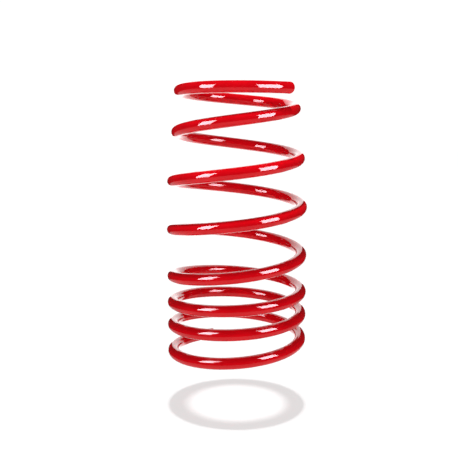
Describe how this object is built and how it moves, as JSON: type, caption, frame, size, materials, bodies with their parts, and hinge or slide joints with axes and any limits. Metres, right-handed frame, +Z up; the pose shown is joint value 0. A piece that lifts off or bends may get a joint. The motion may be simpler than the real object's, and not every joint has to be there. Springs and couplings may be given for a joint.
{
  "type": "coil spring",
  "caption": "Progressive suspension coil spring wound from one red powder-coated round bar, close coils below and open coils above, with flat end coils.",
  "frame": {"origin": "on the coil's axis, at the height of the lower seat, on which the bottom end coil rests", "axes": "+Z up along the coil's axis, towards the upper seat; -Y is the side that faces the viewer, +X their right"},
  "size_m": [0.1502, 0.1502, 0.2944],
  "materials": {
    "powder_coat": "glossy red powder coat on hardened spring steel"
  },
  "bodies": {
    "bottom_end_coil": {"bottom_end_coil": "powder_coat"},
    "close_coil_1_quarter_1": {"close_coil_1_quarter_1": "powder_coat"},
    "close_coil_1_quarter_2": {"close_coil_1_quarter_2": "powder_coat"},
    "close_coil_1_quarter_3": {"close_coil_1_quarter_3": "powder_coat"},
    "close_coil_1_quarter_4": {"close_coil_1_quarter_4": "powder_coat"},
    "close_coil_2_quarter_1": {"close_coil_2_quarter_1": "powder_coat"},
    "close_coil_2_quarter_2": {"close_coil_2_quarter_2": "powder_coat"},
    "close_coil_2_quarter_3": {"close_coil_2_quarter_3": "powder_coat"},
    "close_coil_2_quarter_4": {"close_coil_2_quarter_4": "powder_coat"},
    "close_coil_3_quarter_1": {"close_coil_3_quarter_1": "powder_coat"},
    "close_coil_3_quarter_2": {"close_coil_3_quarter_2": "powder_coat"},
    "open_coil_1_quarter_1": {"open_coil_1_quarter_1": "powder_coat"},
    "open_coil_1_quarter_2": {"open_coil_1_quarter_2": "powder_coat"},
    "open_coil_1_quarter_3": {"open_coil_1_quarter_3": "powder_coat"},
    "open_coil_1_quarter_4": {"open_coil_1_quarter_4": "powder_coat"},
    "open_coil_2_quarter_1": {"open_coil_2_quarter_1": "powder_coat"},
    "open_coil_2_quarter_2": {"open_coil_2_quarter_2": "powder_coat"},
    "open_coil_2_quarter_3": {"open_coil_2_quarter_3": "powder_coat"},
    "open_coil_2_quarter_4": {"open_coil_2_quarter_4": "powder_coat"},
    "open_coil_3_quarter_1": {"open_coil_3_quarter_1": "powder_coat"},
    "open_coil_3_quarter_2": {"open_coil_3_quarter_2": "powder_coat"},
    "open_coil_3_quarter_3": {"open_coil_3_quarter_3": "powder_coat"},
    "open_coil_3_quarter_4": {"open_coil_3_quarter_4": "powder_coat"},
    "open_coil_4_quarter_1": {"open_coil_4_quarter_1": "powder_coat"},
    "open_coil_4_quarter_2": {"open_coil_4_quarter_2": "powder_coat"},
    "open_coil_4_quarter_3": {"open_coil_4_quarter_3": "powder_coat"},
    "open_coil_4_quarter_4": {"open_coil_4_quarter_4": "powder_coat"},
    "open_coil_5_quarter_1": {"open_coil_5_quarter_1": "powder_coat", "top_end_coil": "powder_coat"}
  },
  "joints": [
    {"name": "close_coils_compression", "type": "slide", "parent": "bottom_end_coil", "child": "close_coil_1_quarter_1", "axis": [0, 0, -1], "range_m": [0, 0.0028], "stiffness_N_per_m": 313000},
    {"name": "close_coil_1_quarter_2_compression", "type": "slide", "parent": "close_coil_1_quarter_1", "child": "close_coil_1_quarter_2", "axis": [0, 0, -1], "range_m": [0, 0.0028], "stiffness_N_per_m": 313000},
    {"name": "close_coil_1_quarter_3_compression", "type": "slide", "parent": "close_coil_1_quarter_2", "child": "close_coil_1_quarter_3", "axis": [0, 0, -1], "range_m": [0, 0.0028], "stiffness_N_per_m": 313000},
    {"name": "close_coil_1_quarter_4_compression", "type": "slide", "parent": "close_coil_1_quarter_3", "child": "close_coil_1_quarter_4", "axis": [0, 0, -1], "range_m": [0, 0.0028], "stiffness_N_per_m": 313000},
    {"name": "close_coil_2_quarter_1_compression", "type": "slide", "parent": "close_coil_1_quarter_4", "child": "close_coil_2_quarter_1", "axis": [0, 0, -1], "range_m": [0, 0.0028], "stiffness_N_per_m": 313000},
    {"name": "close_coil_2_quarter_2_compression", "type": "slide", "parent": "close_coil_2_quarter_1", "child": "close_coil_2_quarter_2", "axis": [0, 0, -1], "range_m": [0, 0.0028], "stiffness_N_per_m": 313000},
    {"name": "close_coil_2_quarter_3_compression", "type": "slide", "parent": "close_coil_2_quarter_2", "child": "close_coil_2_quarter_3", "axis": [0, 0, -1], "range_m": [0, 0.0028], "stiffness_N_per_m": 313000},
    {"name": "close_coil_2_quarter_4_compression", "type": "slide", "parent": "close_coil_2_quarter_3", "child": "close_coil_2_quarter_4", "axis": [0, 0, -1], "range_m": [0, 0.0028], "stiffness_N_per_m": 313000},
    {"name": "close_coil_3_quarter_1_compression", "type": "slide", "parent": "close_coil_2_quarter_4", "child": "close_coil_3_quarter_1", "axis": [0, 0, -1], "range_m": [0, 0.0028], "stiffness_N_per_m": 313000},
    {"name": "close_coil_3_quarter_2_compression", "type": "slide", "parent": "close_coil_3_quarter_1", "child": "close_coil_3_quarter_2", "axis": [0, 0, -1], "range_m": [0, 0.0028], "stiffness_N_per_m": 313000},
    {"name": "open_coil_1_quarter_1_compression", "type": "slide", "parent": "close_coil_3_quarter_2", "child": "open_coil_1_quarter_1", "axis": [0, 0, -1], "range_m": [0, 0.00392], "stiffness_N_per_m": 760140},
    {"name": "open_coil_1_quarter_2_compression", "type": "slide", "parent": "open_coil_1_quarter_1", "child": "open_coil_1_quarter_2", "axis": [0, 0, -1], "range_m": [0, 0.0056], "stiffness_N_per_m": 532100},
    {"name": "open_coil_1_quarter_3_compression", "type": "slide", "parent": "open_coil_1_quarter_2", "child": "open_coil_1_quarter_3", "axis": [0, 0, -1], "range_m": [0, 0.00784], "stiffness_N_per_m": 380070},
    {"name": "open_coil_1_quarter_4_compression", "type": "slide", "parent": "open_coil_1_quarter_3", "child": "open_coil_1_quarter_4", "axis": [0, 0, -1], "range_m": [0, 0.00952], "stiffness_N_per_m": 313000},
    {"name": "open_coil_2_quarter_1_compression", "type": "slide", "parent": "open_coil_1_quarter_4", "child": "open_coil_2_quarter_1", "axis": [0, 0, -1], "range_m": [0, 0.00952], "stiffness_N_per_m": 313000},
    {"name": "open_coil_2_quarter_2_compression", "type": "slide", "parent": "open_coil_2_quarter_1", "child": "open_coil_2_quarter_2", "axis": [0, 0, -1], "range_m": [0, 0.00952], "stiffness_N_per_m": 313000},
    {"name": "open_coil_2_quarter_3_compression", "type": "slide", "parent": "open_coil_2_quarter_2", "child": "open_coil_2_quarter_3", "axis": [0, 0, -1], "range_m": [0, 0.00952], "stiffness_N_per_m": 313000},
    {"name": "open_coil_2_quarter_4_compression", "type": "slide", "parent": "open_coil_2_quarter_3", "child": "open_coil_2_quarter_4", "axis": [0, 0, -1], "range_m": [0, 0.00952], "stiffness_N_per_m": 313000},
    {"name": "open_coil_3_quarter_1_compression", "type": "slide", "parent": "open_coil_2_quarter_4", "child": "open_coil_3_quarter_1", "axis": [0, 0, -1], "range_m": [0, 0.00952], "stiffness_N_per_m": 313000},
    {"name": "open_coil_3_quarter_2_compression", "type": "slide", "parent": "open_coil_3_quarter_1", "child": "open_coil_3_quarter_2", "axis": [0, 0, -1], "range_m": [0, 0.00952], "stiffness_N_per_m": 313000},
    {"name": "open_coil_3_quarter_3_compression", "type": "slide", "parent": "open_coil_3_quarter_2", "child": "open_coil_3_quarter_3", "axis": [0, 0, -1], "range_m": [0, 0.00952], "stiffness_N_per_m": 313000},
    {"name": "open_coil_3_quarter_4_compression", "type": "slide", "parent": "open_coil_3_quarter_3", "child": "open_coil_3_quarter_4", "axis": [0, 0, -1], "range_m": [0, 0.00952], "stiffness_N_per_m": 313000},
    {"name": "open_coil_4_quarter_1_compression", "type": "slide", "parent": "open_coil_3_quarter_4", "child": "open_coil_4_quarter_1", "axis": [0, 0, -1], "range_m": [0, 0.00952], "stiffness_N_per_m": 313000},
    {"name": "open_coil_4_quarter_2_compression", "type": "slide", "parent": "open_coil_4_quarter_1", "child": "open_coil_4_quarter_2", "axis": [0, 0, -1], "range_m": [0, 0.00952], "stiffness_N_per_m": 313000},
    {"name": "open_coil_4_quarter_3_compression", "type": "slide", "parent": "open_coil_4_quarter_2", "child": "open_coil_4_quarter_3", "axis": [0, 0, -1], "range_m": [0, 0.00952], "stiffness_N_per_m": 313000},
    {"name": "open_coil_4_quarter_4_compression", "type": "slide", "parent": "open_coil_4_quarter_3", "child": "open_coil_4_quarter_4", "axis": [0, 0, -1], "range_m": [0, 0.00532], "stiffness_N_per_m": 560100},
    {"name": "open_coils_compression", "type": "slide", "parent": "open_coil_4_quarter_4", "child": "open_coil_5_quarter_1", "axis": [0, 0, -1], "range_m": [0, 0.0028], "stiffness_N_per_m": 1064200}
  ],
  "couplings": [
    {"joint": "close_coil_1_quarter_2_compression", "follows": "close_coils_compression", "ratio": 1},
    {"joint": "close_coil_1_quarter_3_compression", "follows": "close_coils_compression", "ratio": 1},
    {"joint": "close_coil_1_quarter_4_compression", "follows": "close_coils_compression", "ratio": 1},
    {"joint": "close_coil_2_quarter_1_compression", "follows": "close_coils_compression", "ratio": 1},
    {"joint": "close_coil_2_quarter_2_compression", "follows": "close_coils_compression", "ratio": 1},
    {"joint": "close_coil_2_quarter_3_compression", "follows": "close_coils_compression", "ratio": 1},
    {"joint": "close_coil_2_quarter_4_compression", "follows": "close_coils_compression", "ratio": 1},
    {"joint": "close_coil_3_quarter_1_compression", "follows": "close_coils_compression", "ratio": 1},
    {"joint": "close_coil_3_quarter_2_compression", "follows": "close_coils_compression", "ratio": 1},
    {"joint": "open_coil_1_quarter_1_compression", "follows": "open_coils_compression", "ratio": 1.4},
    {"joint": "open_coil_1_quarter_2_compression", "follows": "open_coils_compression", "ratio": 2},
    {"joint": "open_coil_1_quarter_3_compression", "follows": "open_coils_compression", "ratio": 2.8},
    {"joint": "open_coil_1_quarter_4_compression", "follows": "open_coils_compression", "ratio": 3.4},
    {"joint": "open_coil_2_quarter_1_compression", "follows": "open_coils_compression", "ratio": 3.4},
    {"joint": "open_coil_2_quarter_2_compression", "follows": "open_coils_compression", "ratio": 3.4},
    {"joint": "open_coil_2_quarter_3_compression", "follows": "open_coils_compression", "ratio": 3.4},
    {"joint": "open_coil_2_quarter_4_compression", "follows": "open_coils_compression", "ratio": 3.4},
    {"joint": "open_coil_3_quarter_1_compression", "follows": "open_coils_compression", "ratio": 3.4},
    {"joint": "open_coil_3_quarter_2_compression", "follows": "open_coils_compression", "ratio": 3.4},
    {"joint": "open_coil_3_quarter_3_compression", "follows": "open_coils_compression", "ratio": 3.4},
    {"joint": "open_coil_3_quarter_4_compression", "follows": "open_coils_compression", "ratio": 3.4},
    {"joint": "open_coil_4_quarter_1_compression", "follows": "open_coils_compression", "ratio": 3.4},
    {"joint": "open_coil_4_quarter_2_compression", "follows": "open_coils_compression", "ratio": 3.4},
    {"joint": "open_coil_4_quarter_3_compression", "follows": "open_coils_compression", "ratio": 3.4},
    {"joint": "open_coil_4_quarter_4_compression", "follows": "open_coils_compression", "ratio": 1.9}
  ]
}
